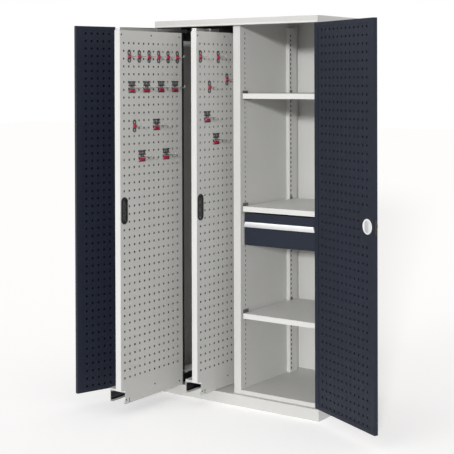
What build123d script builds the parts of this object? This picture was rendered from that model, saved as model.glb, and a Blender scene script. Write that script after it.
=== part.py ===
from build123d import *
from math import cos, radians, sin
import os

# A tool cabinet with two perforated doors. Behind the left door hang two vertical perforated
# pull-outs, and behind the right one are shelves and a drawer. The model stands as it is used:
# doors open, one pull-out fully out, the other part of the way. Sizes are in millimetres.
# X runs to the right, Y into the cabinet, Z up. The origin is the middle of the base, on the floor.

# Body
width = 1000
height = 1950
depth = 580
sheet = 1.5
header_height = 34
header_depth = 40
header_groove = 0.5
header_bands = (13, 24)
plinth_height = 57
front_flange = 14
crossbar_width = 80
crossbar_base = 2

front = -depth / 2
back = depth / 2
half = width / 2
header_z = height - header_height
wall_back = back - sheet
inside = half - sheet

# Divider, uprights and their slots
divider_left = -12
divider_right = 30
post_depth = 66
seam_step = 0.5
slot_width = 6
slot_height = 12
slot_pitch = 25
slot_start = 100
slot_from_front = 43
upright_width = 20
upright_depth = 72
upright_from_back = 121.5
upright_slot = 13
upright_slot_width = 10
strip_depth = 12

wall_right = divider_right - seam_step
upright_y = wall_back - upright_from_back
slot_count = int((header_z - slot_pitch - slot_start) // slot_pitch) + 1
strip_face = inside - strip_depth
upright_left = wall_right + upright_width
upright_right = strip_face - upright_width

# Floor tray and shelves
tray_height = 20
shelf_heights = {"shelf_upper": 1572, "shelf_middle": 1004, "shelf_lower": 464}
shelf_thickness = 26
shelf_end_gap = 12
shelf_front = front + 30
shelf_rear_gap = 4
notch_gap = 1.5
clip_width = 45
clip_plate = 3
clip_above = 14
clip_ledge = 28
rear_clip_width = 20
rear_clip_inset = 3
seat_gap = 0.3

# Telescopic slides: three nested channels
slide_height = 45
slide_thickness = 12.7
slide_wall = 1.2
slide_gap = 0.4

# Drawer
drawer_bottom = 811
drawer_top = 971
drawer_front_y = front + 32
drawer_front_thick = 18
drawer_side_cover = 4.7
drawer_box_wall = 1.2
drawer_box_drop = 21
drawer_box_lift = 11
drawer_rear_gap = 8
drawer_slide_gap = 2
drawer_slide_short = 3
drawer_slide_z = 870
handle_bottom = 902
handle_height = 27
handle_reach = 10
handle_lip = 2
cassette_plate = 2
cassette_drop = 12
drawer_front_return = 20

# Pull-outs
pullout_from_divider = {1: 310, 2: 99.5}
pullout_out = {1: 520, 2: 184}
pullout_home = 30
pullout_thick = 33
pullout_rear_room = 60
pullout_top_gap = 32
cap_depth = 4
cap_chamfer = 1.5
frame_flange = 20
carriage_width = 98
carriage_wall = 2
carriage_bottom = 60
carriage_top = 128
carriage_set_back = 35
hole = 10
hole_pitch = 38
pullout_first_column = 31
pullout_last_column = 35
pullout_first_row = 62.3
pullout_last_row = 30
grip_rows = (20, 21, 22, 23)
grip_width = 47
grip_height = 132
grip_rim = 9.5
grip_proud = 2
grip_hole = (32, 117)
grip_fit = 0.2

pullout_faces = {number: divider_left - gap for number, gap in pullout_from_divider.items()}
pullout_depth = depth - pullout_home - pullout_rear_room
pullout_top = header_z - pullout_top_gap
pullout_top_row = pullout_top - pullout_first_row
column_room = pullout_depth - pullout_last_column - pullout_first_column
row_room = pullout_top_row - carriage_top - pullout_last_row
pullout_columns = int(column_room // hole_pitch) + 1
pullout_rows = int(row_room // hole_pitch) + 1

# Rails under and over the pull-outs
beam_top = 116
beam_wall = 2
slide_z = 88.5
slide_from_front = 60
slide_short = 30
runner_width = 22.4
runner_height = 14
guide_drop = 70
guide_from_front = 44
guide_from_back = 20
guide_gap = 3.5
middle_rail_inset = 2

slide_front = front + slide_from_front
slide_length = pullout_depth - slide_short
guide_bottom = header_z - guide_drop
guide_front = front + guide_from_front
guide_back = back - guide_from_back
middle_rail_front = slide_front + middle_rail_inset
middle_rail_back = slide_front + slide_length

# Doors
door_side_gap = 3
door_thick = 20
door_room = 5
door_top_gap = 1.5
door_bottom_gap = 5
door_frame_side = 32
door_frame_end = 20
door_skin = 1.5
door_column_pitch = 34
door_first_column = 58
door_last_column = 55
door_first_row = 36.7
door_last_row = 28
hinge_from_side = 10
hinge_from_front = 9
left_open = 109
right_open = 153
pin_radius = 4
pin_fit = 0.05
washer_radius = 8
bush_length = 20
bush_reach = 8.5
sheet_seat = 0.2

door_bottom = plinth_height + door_bottom_gap
door_top = header_z - door_top_gap
hinge_edge = hinge_from_side - door_side_gap
door_outer = -hinge_from_front
door_inner = door_thick - hinge_from_front
door_free = half - hinge_from_side - door_side_gap
panel_back = door_inner - door_skin
door_top_row = door_top - door_first_row
door_columns = int((door_free - door_last_column - door_first_column) // door_column_pitch) + 1
door_rows = int((door_top_row - door_bottom - door_last_row) // hole_pitch) + 1
wall_front = front + door_thick + door_room
post_back = wall_front + post_depth

# Lock
lock_from_edge = 50
lock_clear = 60
lock_z = 984
rod_radius = 4
rod_hole = 4.6
rod_across = 2.5
rod_below_edge = 3
crank = 12
crank_pin = 2
foot_gap = 0.5
spindle_radius = 5
disc_radius = 35
disc_thick = 3
pad_size = (30, 54)
rosette_radius = 26
rosette_thick = 4
lever_length = 118
lever_width = 22
lever_thick = 12
lever_stand_off = 24
faceplate_height = 64

lock_along = door_free - lock_from_edge
rod_x = half - hinge_from_side - lock_along
rod_y = front + hinge_from_front + rod_across

# Tool hooks: each place is the column and row of the upper hole that it hangs in
small_hooks = {
    1: [(1, 1), (3, 1), (5, 1), (7, 1), (9, 1), (11, 1), (2, 10)],
    2: [(0, 1), (4, 1), (6, 4), (2, 5)],
}
large_hooks = {
    1: [(1, 5), (4, 5), (7, 5), (10, 5), (6, 10), (3, 14), (8, 14)],
    2: [(1, 9), (3, 12)],
}
prong_radius = 2.5
prong_length = 46
prong_tip = 13


os.makedirs("parts", exist_ok=True)


def block(x, y, z, mode=Mode.ADD):
    """A block between two X, two Y and two Z values."""
    with Locations(((x[0] + x[1]) / 2, (y[0] + y[1]) / 2, (z[0] + z[1]) / 2)):
        Box(x[1] - x[0], y[1] - y[0], z[1] - z[0], mode=mode)


def rod(radius, low, high, at=(0, 0), mode=Mode.ADD):
    """An upright cylinder between two heights."""
    with Locations((at[0], at[1], (low + high) / 2)):
        Cylinder(radius, high - low, mode=mode)


def span(side, near, far):
    """The two X values near and far from the middle on one side, lowest first."""
    return tuple(sorted((side * near, side * far)))


def save(piece, name):
    piece.part.label = name
    export_step(piece.part, f"parts/{name}.step", write_pcurves=False)


def holed_sheet(plane, u, v, places, size, thick, cut_out=None):
    """A sheet with equal holes at the given places, and one larger cut-out. Its face is made
    straight from its outlines, because cutting hundreds of holes takes far longer."""

    def outline(at, wide, high):
        corners = [(x * wide / 2, y * high / 2) for x, y in ((-1, -1), (1, -1), (1, 1), (-1, 1))]
        points = [plane.from_local_coords((at[0] + x, at[1] + y, 0)) for x, y in corners]
        return Wire.make_polygon(points)

    holes = [outline(place, *size) for place in places]
    if cut_out:
        holes.append(outline(cut_out[0], *cut_out[1]))
    middle = ((u[0] + u[1]) / 2, (v[0] + v[1]) / 2)
    extrude(Face(outline(middle, u[1] - u[0], v[1] - v[0]), holes), amount=thick, dir=plane.z_dir)


def slotted_sheet(plane, u, v, slot_u, wide):
    """A sheet with one column of hanging slots, on a plane whose own Y points up."""
    places = [(slot_u, slot_start + i * slot_pitch) for i in range(slot_count)]
    holed_sheet(plane, u, v, places, (wide, slot_height), sheet)


def tray(x, y, z, wall):
    """A sheet tray that is open underneath."""
    block(x, y, z)
    hollow_x = (x[0] + wall, x[1] - wall)
    hollow_y = (y[0] + wall, y[1] - wall)
    block(hollow_x, hollow_y, (z[0], z[1] - wall), Mode.SUBTRACT)


# Top cover: a tray with a header at the front, whose lower flange carries the hinge pins
with BuildPart() as top_cover:
    block((-half, half), (front, back), (header_z, height))
    room_x = (-inside, inside)
    block(room_x, (front + sheet, wall_back), (header_z + sheet, height - sheet), Mode.SUBTRACT)
    block(room_x, (front + header_depth, wall_back), (header_z, header_z + sheet), Mode.SUBTRACT)
    for drop in header_bands:
        groove = (height - drop - 1, height - drop)
        block((-half, half), (front, front + header_groove), groove, Mode.SUBTRACT)
    rod(rod_hole, header_z - sheet, header_z + 2 * sheet, (rod_x, rod_y), Mode.SUBTRACT)
save(top_cover, "top_cover")

# Plinth: a tray that stands on its lower edges, with a channel across it under the divider
with BuildPart() as base_plinth:
    tray((-half, half), (front, back), (0, plinth_height), sheet)
    rod(rod_hole, plinth_height - 2 * sheet, plinth_height + sheet, (rod_x, rod_y), Mode.SUBTRACT)
save(base_plinth, "base_plinth")

with BuildPart() as base_crossbar:
    bar_x = crossbar_width / 2
    bar_top = plinth_height - sheet
    block((-bar_x, bar_x), (front + sheet, wall_back), (0, bar_top))
    block((sheet - bar_x, bar_x - sheet), (front, back), (crossbar_base, bar_top), Mode.SUBTRACT)
save(base_crossbar, "base_crossbar")

# Side walls, each with a narrow flange at its front edge
for side, name in ((-1, "side_wall_left"), (1, "side_wall_right")):
    with BuildPart() as side_wall:
        block(span(side, inside, half), (wall_front, back), (plinth_height, header_z))
        flange_y = (wall_front, wall_front + sheet)
        block(span(side, half - front_flange, half), flange_y, (plinth_height, header_z))
    save(side_wall, name)

with BuildPart() as back_panel:
    block((-inside, inside), (wall_back, back), (plinth_height, header_z))
save(back_panel, "back_panel")

# Divider: a slotted front post, and a hollow wall behind it that reaches up into the top cover
with BuildPart() as divider_post:
    slotted_sheet(
        Plane.YZ.offset(divider_right - sheet),
        (wall_front, post_back),
        (plinth_height, header_z),
        wall_front + slot_from_front,
        slot_width,
    )
    shell_x = (divider_left, divider_right - sheet)
    block((divider_left, divider_left + sheet), (wall_front, post_back), (plinth_height, header_z))
    block(shell_x, (wall_front, wall_front + sheet), (plinth_height, header_z))
    block(shell_x, (post_back - sheet, post_back), (plinth_height, header_z))
save(divider_post, "divider_post")

with BuildPart() as divider_wall:
    wall_x = (divider_left + seam_step, wall_right)
    wall_top = height - sheet
    head_front = front + header_depth
    block(wall_x, (post_back, wall_back), (plinth_height, wall_top))
    block(wall_x, (head_front, post_back), (header_z, wall_top))
    core_x = (wall_x[0] + sheet, wall_x[1] - sheet)
    core_back = wall_back - sheet
    block(core_x, (post_back + sheet, core_back), (plinth_height, wall_top), Mode.SUBTRACT)
    block(core_x, (head_front + sheet, post_back + sheet), (header_z + sheet, wall_top), Mode.SUBTRACT)
save(divider_wall, "divider_wall")

# Floor tray of the right compartment
tray_top = plinth_height + tray_height
with BuildPart() as floor_tray:
    tray((divider_right, inside), (wall_front + sheet, wall_back), (plinth_height, tray_top), sheet)
save(floor_tray, "floor_tray")

# Uprights that carry the shelves: two channels at the rear, slotted in the sides that face each
# other, and a strip at the right front
with BuildPart() as shelf_uprights:
    upright_back = upright_y + upright_depth
    for wall, face, slotted in (
        (wall_right, upright_left, upright_left - sheet),
        (inside, upright_right, upright_right),
    ):
        across_x = tuple(sorted((wall, face)))
        slotted_sheet(
            Plane.YZ.offset(slotted),
            (upright_y, upright_back),
            (tray_top, header_z),
            upright_y + upright_slot,
            upright_slot_width,
        )
        block(across_x, (upright_y, upright_y + sheet), (tray_top, header_z))
        block(across_x, (upright_back - sheet, upright_back), (tray_top, header_z))
    strip_plane = Plane.YZ.offset(strip_face)
    strip_y = (wall_front + sheet, post_back)
    strip_slot = wall_front + slot_from_front
    slotted_sheet(strip_plane, strip_y, (tray_top, header_z), strip_slot, slot_width)
    for low in (strip_y[0], strip_y[1] - sheet):
        block((strip_face, inside), (low, low + sheet), (tray_top, header_z))
save(shelf_uprights, "shelf_uprights")

# Shelves: folded trays with their rear corners cut out round the uprights
shelf_left = divider_right + shelf_end_gap
shelf_right = strip_face - shelf_end_gap
shelf_back = upright_y + upright_depth - shelf_rear_gap
notch_y = upright_y - 2 * notch_gap
notch_left = upright_left + clip_plate + notch_gap
notch_right = upright_right - clip_plate - notch_gap


def shelf_outline(inset):
    """The plan of a shelf, drawn in by a distance all round."""
    left, right = shelf_left + inset, shelf_right - inset
    low, high, notch = shelf_front + inset, shelf_back - inset, notch_y - inset
    inner_left, inner_right = notch_left + inset, notch_right - inset
    start = [(left, low), (right, low), (right, notch), (inner_right, notch)]
    return start + [(inner_right, high), (inner_left, high), (inner_left, notch), (left, notch)]


for name, top in shelf_heights.items():
    under = top - shelf_thickness
    with BuildPart() as shelf:
        hollow = shelf_thickness - sheet
        for inset, tall, mode in ((0, shelf_thickness, Mode.ADD), (sheet, hollow, Mode.SUBTRACT)):
            with BuildSketch(Plane.XY.offset(under)) as plan:
                with BuildLine():
                    Polyline(*shelf_outline(inset), close=True)
                make_face()
            extrude(plan.sketch, amount=tall, mode=mode)
    save(shelf, name)

# Shelf clips: hooked angles at the four corners of each shelf
with BuildPart() as shelf_clips:
    clip_y = (wall_front + 20, wall_front + 20 + clip_width)
    rear_clip_low = upright_y + rear_clip_inset
    rear_clip_y = (rear_clip_low, rear_clip_low + rear_clip_width)
    for top in shelf_heights.values():
        under = top - shelf_thickness
        ledge = (under - clip_plate, under)
        for face, turn, along in (
            (divider_right, 1, clip_y),
            (strip_face, -1, clip_y),
            (upright_left, 1, rear_clip_y),
            (upright_right, -1, rear_clip_y),
        ):
            plate_x = tuple(sorted((face, face + turn * clip_plate)))
            ledge_x = tuple(sorted((face, face + turn * clip_ledge)))
            block(plate_x, along, (ledge[0], top + clip_above))
            block(ledge_x, along, ledge)
save(shelf_clips, "shelf_clips")


def slide_member(member, x_back, turn, z_mid, y):
    """One channel of a telescopic slide, whose fixed side lies on x_back, growing towards turn."""
    reach = slide_thickness - slide_wall - slide_gap
    step = slide_wall + slide_gap
    if member == "outer":
        web, lips, half_high = (0, slide_wall), (0, reach), slide_height / 2
    elif member == "middle":
        web, lips, half_high = (step, step + slide_wall), (step, reach), slide_height / 2 - step
    else:
        web = (slide_thickness - slide_wall, slide_thickness)
        lips = (2 * step, slide_thickness)
        half_high = slide_height / 2 - 2 * step
    web_x = tuple(sorted(x_back + turn * u for u in web))
    lips_x = tuple(sorted(x_back + turn * u for u in lips))
    block(web_x, y, (z_mid - half_high, z_mid + half_high))
    block(lips_x, y, (z_mid - half_high, z_mid - half_high + slide_wall))
    block(lips_x, y, (z_mid + half_high - slide_wall, z_mid + half_high))


# Drawer: a cassette of two side plates, a pair of slides, the box, its front and the grip strip
plate_left = shelf_left - cassette_plate
plate_right = shelf_right + cassette_plate
drawer_slides = ((shelf_left, 1), (shelf_right, -1))
drawer_box_x = (shelf_left + slide_thickness, shelf_right - slide_thickness)
drawer_front_x = (drawer_box_x[0] - drawer_side_cover, drawer_box_x[1] + drawer_side_cover)
drawer_back_y = drawer_front_y + drawer_front_thick
drawer_end_y = upright_y - drawer_rear_gap
drawer_slide_y = (drawer_back_y + drawer_slide_gap, drawer_end_y - drawer_slide_short)

with BuildPart() as drawer_cassette:
    cassette_z = (drawer_bottom, drawer_top - cassette_drop)
    for x, tab_x in (
        ((plate_left, shelf_left), (divider_right, plate_left)),
        ((shelf_right, plate_right), (plate_right, strip_face)),
    ):
        block(x, (shelf_front, upright_y - sheet), cassette_z)
        block(tab_x, (wall_front + 30, wall_front + 55), (drawer_slide_z - 30, drawer_slide_z + 30))
    for x in ((plate_left - 8, shelf_left), (shelf_right, plate_right + 8)):
        block(x, (upright_y - sheet, upright_y), (drawer_slide_z - 30, drawer_slide_z + 30))
save(drawer_cassette, "drawer_cassette")

for member in ("outer", "middle", "inner"):
    with BuildPart() as drawer_slide:
        for x_back, turn in drawer_slides:
            slide_member(member, x_back, turn, drawer_slide_z, drawer_slide_y)
    save(drawer_slide, f"drawer_slides_{member}")

with BuildPart() as drawer_box:
    box_z = (drawer_bottom + drawer_box_lift, drawer_top - drawer_box_drop)
    box_y = (drawer_back_y, drawer_end_y)
    block(drawer_box_x, box_y, box_z)
    room_x = (drawer_box_x[0] + drawer_box_wall, drawer_box_x[1] - drawer_box_wall)
    room_y = (box_y[0] + drawer_box_wall, box_y[1] - drawer_box_wall)
    block(room_x, room_y, (box_z[0] + drawer_box_wall, box_z[1]), Mode.SUBTRACT)
save(drawer_box, "drawer_box")

with BuildPart() as drawer_front:
    block(drawer_front_x, (drawer_front_y, drawer_back_y), (drawer_bottom, drawer_top))
    for inset, end in ((sheet, drawer_back_y - sheet), (drawer_front_return, drawer_back_y)):
        room_x = (drawer_front_x[0] + inset, drawer_front_x[1] - inset)
        room_z = (drawer_bottom + inset, drawer_top - inset)
        block(room_x, (drawer_front_y + sheet, end), room_z, Mode.SUBTRACT)
save(drawer_front, "drawer_front")

with BuildPart() as drawer_handle:
    handle_top = handle_bottom + handle_height
    handle_y = drawer_front_y - handle_reach
    section = [
        (drawer_front_y, handle_bottom),
        (drawer_front_y, handle_top),
        (handle_y + 3, handle_top),
        (handle_y, handle_top - 4),
        (handle_y, handle_bottom),
        (handle_y + handle_lip, handle_bottom),
        (handle_y + handle_lip, handle_top - 6),
        (drawer_front_y - handle_lip, handle_top - 6),
        (drawer_front_y - handle_lip, handle_bottom),
    ]
    with BuildSketch(Plane.YZ.offset(drawer_front_x[0])):
        with BuildLine():
            Polyline(*section, close=True)
        make_face()
    extrude(amount=drawer_front_x[1] - drawer_front_x[0])
save(drawer_handle, "drawer_handle")


def stadium(wide, high):
    """A rectangle with half-round ends above and below."""
    RectangleRounded(wide, high, wide / 2 - 0.01)


def column_y(front_y, column):
    return front_y + pullout_first_column + column * hole_pitch


def row_z(row):
    return pullout_top_row - row * hole_pitch


# The two perforated sheets of a pull-out, built once with the pull-out's front at Y zero
grip_row = sum(grip_rows) / len(grip_rows)
grid = [(c, r) for c in range(pullout_columns) for r in range(pullout_rows)]
sheet_y = (cap_depth, pullout_depth)
sheet_z = (carriage_top, pullout_top)
grip_at = (column_y(0, 0), row_z(grip_row))
all_places = [(column_y(0, c), row_z(r)) for c, r in grid]
grip_places = [(column_y(0, c), row_z(r)) for c, r in grid if c > 0 or r not in grip_rows]

with BuildPart() as sheet_with_grip:
    holed_sheet(Plane.YZ, sheet_y, sheet_z, grip_places, (hole, hole), sheet, (grip_at, grip_hole))
with BuildPart() as sheet_plain:
    holed_sheet(Plane.YZ, sheet_y, sheet_z, all_places, (hole, hole), sheet)

# A hook is modelled on its own: X out of the sheet, the origin in the middle of its upper hole
tab = (hole - 2) / 2
with BuildPart() as small_hook:
    block((0, 2), (-9, 9), (-52, 5))
    for z in (0, -hole_pitch):
        block((-6, 0), (-tab, tab), (z - tab, z + tab))
    with BuildSketch(Plane.YZ.offset(2)):
        with Locations((0, -8), (0, -hole_pitch - 8.5)):
            Circle(9.5)
            Circle(4.5, mode=Mode.SUBTRACT)
    extrude(amount=4)
    with BuildLine() as prong_path:
        ends = [(2, 0, -27), (2 + prong_length, 0, -27), (2 + prong_length, 0, -27 + prong_tip)]
        FilletPolyline(*ends, radius=6)
    with BuildSketch(Plane(ends[0], z_dir=(1, 0, 0))):
        Circle(prong_radius)
    sweep(path=prong_path.line)

with BuildPart() as small_pad:
    block((2, 9), (-10.5, 10.5), (-36.5, -19))
    with Locations(Location((5, 0, -27), (0, 90, 0))):
        Cylinder(prong_radius + 0.3, 12, mode=Mode.SUBTRACT)

with BuildPart() as large_hook:
    block((0, 2), (-24, 24), (-54, -26))
    block((0, 2), (-10, 10), (-26, 5))
    bars = ((-3, 5, 29, 6), (-20, -12, 27, 6), (-34, -26, 29, 7), (-54, -47, 27, 6))
    for low, high, reach, bar in bars:
        block((0, bar), (-reach, reach), (low, high))
    for y in (-hole_pitch / 2, hole_pitch / 2):
        for z in (0, -hole_pitch):
            block((-6, 0), (y - tab, y + tab), (z - tab if z else -3, z + tab))
    for y in (-24, 24):
        with BuildLine() as large_path:
            ends = [(7, y, -30), (7 + prong_length, y, -30), (7 + prong_length, y, -30 + prong_tip)]
            FilletPolyline(*ends, radius=6)
        with BuildSketch(Plane(ends[0], z_dir=(1, 0, 0))):
            Circle(prong_radius)
        sweep(path=large_path.line)

with BuildPart() as large_pad:
    block((2, 10), (-15, 15), (-46, -35))


def pullout_frame(face_x, rear_x, front_y):
    """A folded frame of channels round the edge, closed at the front by a chamfered strip."""
    y = (front_y + cap_depth, front_y + pullout_depth)
    z = (carriage_top, pullout_top)
    block((rear_x + sheet, face_x - sheet), y, z)
    room_y = (y[0] + sheet, y[1] - sheet)
    room_z = (z[0] + sheet, z[1] - sheet)
    block((rear_x + 2 * sheet, face_x - 2 * sheet), room_y, room_z, Mode.SUBTRACT)
    window_y = (y[0] + frame_flange, y[1] - frame_flange)
    window_z = (z[0] + frame_flange, z[1] - frame_flange)
    block((rear_x, face_x), window_y, window_z, Mode.SUBTRACT)
    cut_y = (column_y(front_y, 0) - grip_hole[0] / 2, window_y[0])
    cut_z = (row_z(grip_row) - grip_height / 2, row_z(grip_row) + grip_height / 2)
    block((face_x - 2 * sheet, face_x - sheet), cut_y, cut_z, Mode.SUBTRACT)
    with BuildSketch(Plane.XY.offset(carriage_top)) as cap_plan:
        with Locations(((rear_x + face_x) / 2, front_y + cap_depth / 2)):
            Rectangle(pullout_thick, cap_depth)
        chamfer(cap_plan.vertices().group_by(Axis.Y)[0], cap_chamfer)
    extrude(cap_plan.sketch, amount=pullout_top - carriage_top)


def pullout_grip(face_x, front_y):
    """A ring round the finger slot, whose collar passes through the sheet."""
    opening = (grip_width - 2 * grip_rim, grip_height - 2 * grip_rim)
    at = (column_y(front_y, 0), row_z(grip_row))
    with BuildSketch(Plane.YZ.offset(face_x)) as rim:
        with Locations(at):
            stadium(grip_width, grip_height)
    extrude(rim.sketch, amount=grip_proud)
    collar_y = (at[0] - grip_hole[0] / 2 + grip_fit, at[0] + grip_hole[0] / 2 - grip_fit)
    collar_z = (at[1] - grip_hole[1] / 2 + grip_fit, at[1] + grip_hole[1] / 2 - grip_fit)
    block((face_x - sheet, face_x), collar_y, collar_z)
    with BuildSketch(Plane.YZ.offset(face_x - 2 * sheet)) as slot:
        with Locations(at):
            RectangleRounded(*opening, opening[0] / 2 - 0.01)
    extrude(slot.sketch, amount=2 * sheet + 2 * grip_proud, mode=Mode.SUBTRACT)


def rail_channel(x_mid, half_width, y, z):
    """An inverted channel of sheet."""
    block((x_mid - half_width, x_mid + half_width), y, z)
    room_x = (x_mid - half_width + sheet, x_mid + half_width - sheet)
    block(room_x, y, (z[0], z[1] - sheet), Mode.SUBTRACT)


# Sizes that the rails of both pull-outs share
runner_half = runner_width / 2
runner_top = pullout_top + runner_height
middle_half = runner_half + slide_gap + sheet
middle_top = runner_top + slide_gap + sheet
outer_half = middle_half + slide_gap + sheet
outer_top = middle_top + slide_gap + sheet
channel_low = pullout_top + 1.5
beam_inset = carriage_wall + slide_thickness
slide_run = (slide_front, slide_front + slide_length)

with BuildPart() as pullout_beams:
    for face_x in pullout_faces.values():
        beam_x = (face_x - carriage_width + beam_inset, face_x - beam_inset)
        block(beam_x, (slide_front - 16, slide_run[1] + 20), (plinth_height, beam_top))
        room_x = (beam_x[0] + beam_wall, beam_x[1] - beam_wall)
        block(room_x, (front, back), (plinth_height, beam_top - beam_wall), Mode.SUBTRACT)
save(pullout_beams, "pullout_beams")

with BuildPart() as pullout_slides_outer:
    for face_x in pullout_faces.values():
        for x_back, turn in ((face_x - carriage_width + beam_inset, -1), (face_x - beam_inset, 1)):
            slide_member("outer", x_back, turn, slide_z, slide_run)
save(pullout_slides_outer, "pullout_slides_outer")

with BuildPart() as pullout_top_guides:
    for face_x in pullout_faces.values():
        rail_x = face_x - pullout_thick / 2
        plate_x = face_x - pullout_thick - guide_gap - sheet
        rail_channel(rail_x, outer_half, (guide_front, guide_back), (channel_low, outer_top))
        block((plate_x, rail_x + outer_half), (guide_front, guide_back), (outer_top, outer_top + sheet))
        block((plate_x, plate_x + sheet), (guide_front, guide_back), (guide_bottom, height - sheet))
save(pullout_top_guides, "pullout_top_guides")

for number, face_x in pullout_faces.items():
    rear_x = face_x - pullout_thick
    rail_x = face_x - pullout_thick / 2
    out = pullout_out[number]
    front_y = front + pullout_home - out
    start = f"pullout_{number}"
    rear_y = front_y + pullout_depth

    with BuildPart() as frame:
        pullout_frame(face_x, rear_x, front_y)
    save(frame, f"{start}_frame")

    with BuildPart() as face_sheet:
        with Locations((face_x - sheet, front_y, 0)):
            add(sheet_with_grip.part)
    save(face_sheet, f"{start}_sheet_right")

    with BuildPart() as rear_sheet:
        with Locations((rear_x, front_y, 0)):
            add(sheet_plain.part)
    save(rear_sheet, f"{start}_sheet_left")

    with BuildPart() as grip:
        pullout_grip(face_x, front_y)
    save(grip, f"{start}_grip")

    with BuildPart() as carriage:
        carriage_x = (face_x - carriage_width, face_x)
        carriage_y = (front_y + carriage_set_back, rear_y)
        block(carriage_x, carriage_y, (carriage_bottom, carriage_top))
        room_x = (carriage_x[0] + carriage_wall, carriage_x[1] - carriage_wall)
        block(room_x, carriage_y, (carriage_bottom, carriage_top - carriage_wall), Mode.SUBTRACT)
    save(carriage, f"{start}_carriage")

    slide_backs = ((face_x - carriage_width + beam_inset, -1), (face_x - beam_inset, 1))
    with BuildPart() as inner_rails:
        run = (slide_run[0] - out, slide_run[1] - out)
        for x_back, turn in slide_backs:
            slide_member("inner", x_back, turn, slide_z, (run[0] + 7, run[1]))
        runner_x = (rail_x - runner_half, rail_x + runner_half)
        runner_y = (front_y + cap_depth, rear_y)
        block(runner_x, runner_y, (pullout_top, runner_top))
        room_x = (runner_x[0] + sheet, runner_x[1] - sheet)
        block(room_x, runner_y, (pullout_top + sheet, runner_top - sheet), Mode.SUBTRACT)
    save(inner_rails, f"{start}_inner_rails")

    with BuildPart() as middle_rails:
        shift = out / 2
        run = (slide_run[0] - shift, slide_run[1] - shift)
        for x_back, turn in slide_backs:
            slide_member("middle", x_back, turn, slide_z, run)
        top_run = (middle_rail_front - shift, middle_rail_back - shift)
        rail_channel(rail_x, middle_half, top_run, (channel_low, middle_top))
    save(middle_rails, f"{start}_middle_rails")

    with BuildPart() as screws:
        middle_y = front_y + pullout_depth / 2
        top_line = [(y, pullout_top - 21) for y in (front_y + 13, middle_y - 4, rear_y - 22)]
        low_line = [(front_y + 65, 74), (rear_y - 29, 84), (middle_y + 16, 112)]
        with BuildSketch(Plane.YZ.offset(face_x)):
            with Locations(*(top_line + low_line)):
                Circle(4)
        extrude(amount=1.5)
    save(screws, f"{start}_screws")

    for kind, small, large in (("hooks", small_hook, large_hook), ("hook_pads", small_pad, large_pad)):
        with BuildPart() as hung:
            for column, row in small_hooks[number]:
                with Locations((face_x, column_y(front_y, column), row_z(row))):
                    add(small.part)
            for column, row in large_hooks[number]:
                with Locations((face_x, column_y(front_y, column + 0.5), row_z(row))):
                    add(large.part)
        save(hung, f"{start}_{kind}")


def leaf_plane(side, z=0):
    """The door's own frame: origin on its hinge pin, X along the leaf to its free edge, Z up."""
    swing = -left_open if side < 0 else 180 + right_open
    direction = (cos(radians(swing)), sin(radians(swing)), 0)
    pin = (side * (half - hinge_from_side), front + hinge_from_front, z)
    return Plane(origin=pin, x_dir=direction, z_dir=(0, 0, 1))


def across(side, low, high):
    """Two depths through the door, positive towards its inner face, in the door's own frame."""
    turn = 1 if side < 0 else -1
    return tuple(sorted((turn * low, turn * high)))


def door_shell(side):
    """A folded pan with an inner frame, open where the perforated sheet shows."""
    along = (-hinge_edge, door_free)
    block(along, across(side, door_outer, door_inner), (door_bottom, door_top))
    room_u = (along[0] + door_skin, along[1] - door_skin)
    room_z = (door_bottom + door_skin, door_top - door_skin)
    block(room_u, across(side, door_outer + door_skin, panel_back), room_z, Mode.SUBTRACT)
    window_u = (along[0] + door_frame_side, along[1] - door_frame_side)
    window_z = (door_bottom + door_frame_end, door_top - door_frame_end)
    block(window_u, across(side, panel_back, door_inner), window_z, Mode.SUBTRACT)
    for z in (door_bottom, door_top):
        rod(pin_radius + 0.4, z - 2 * door_skin, z + 2 * door_skin, mode=Mode.SUBTRACT)


def door_sheet(side, places):
    """The perforated sheet, held against the back of the door's inner frame."""
    overlap = 10
    along = (door_frame_side - hinge_edge - overlap, door_free - door_frame_side + overlap)
    up = (door_bottom + door_frame_end - overlap, door_top - door_frame_end + overlap)
    low, high = across(side, panel_back - sheet_seat - door_skin, panel_back - sheet_seat)
    leaf = leaf_plane(side)
    origin = leaf.from_local_coords(Vector(0, high, 0))
    sheet_plane = Plane(origin=origin, x_dir=leaf.x_dir, z_dir=-leaf.y_dir)
    holed_sheet(sheet_plane, along, up, places, (hole, hole), high - low)


door_grid = [(c, r) for c in range(door_columns) for r in range(door_rows)]


def door_place(column, row):
    return (door_first_column + column * door_column_pitch, door_top_row - row * hole_pitch)


def beside_lock(place):
    return abs(place[0] - lock_along) < lock_clear and abs(place[1] - lock_z) < lock_clear


bush_depth = (door_outer + door_skin, panel_back - door_skin - sheet_seat)
for side, name in ((-1, "door_left"), (1, "door_right")):
    with BuildPart(leaf_plane(side)) as shell:
        door_shell(side)
        if side > 0:
            for z in (door_bottom, door_top):
                at = (lock_along, -rod_across)
                rod(rod_hole, z - 2 * door_skin, z + 2 * door_skin, at, Mode.SUBTRACT)
            with Locations(Location((lock_along, -door_outer - door_skin / 2, lock_z), (90, 0, 0))):
                Cylinder(spindle_radius + pin_fit, 2 * door_skin, mode=Mode.SUBTRACT)
    save(shell, f"{name}_shell")

    with BuildPart() as inner_sheet:
        places = [door_place(c, r) for c, r in door_grid]
        if side > 0:
            places = [place for place in places if not beside_lock(place)]
        door_sheet(side, places)
    save(inner_sheet, f"{name}_sheet")

    with BuildPart(leaf_plane(side)) as bushes:
        for low in (door_bottom + door_skin, door_top - door_skin - bush_length):
            bush_u = (door_skin - hinge_edge, bush_reach)
            block(bush_u, across(side, *bush_depth), (low, low + bush_length))
            rod(pin_radius + pin_fit, low, low + bush_length, mode=Mode.SUBTRACT)
    save(bushes, f"{name}_bushes")

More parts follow.
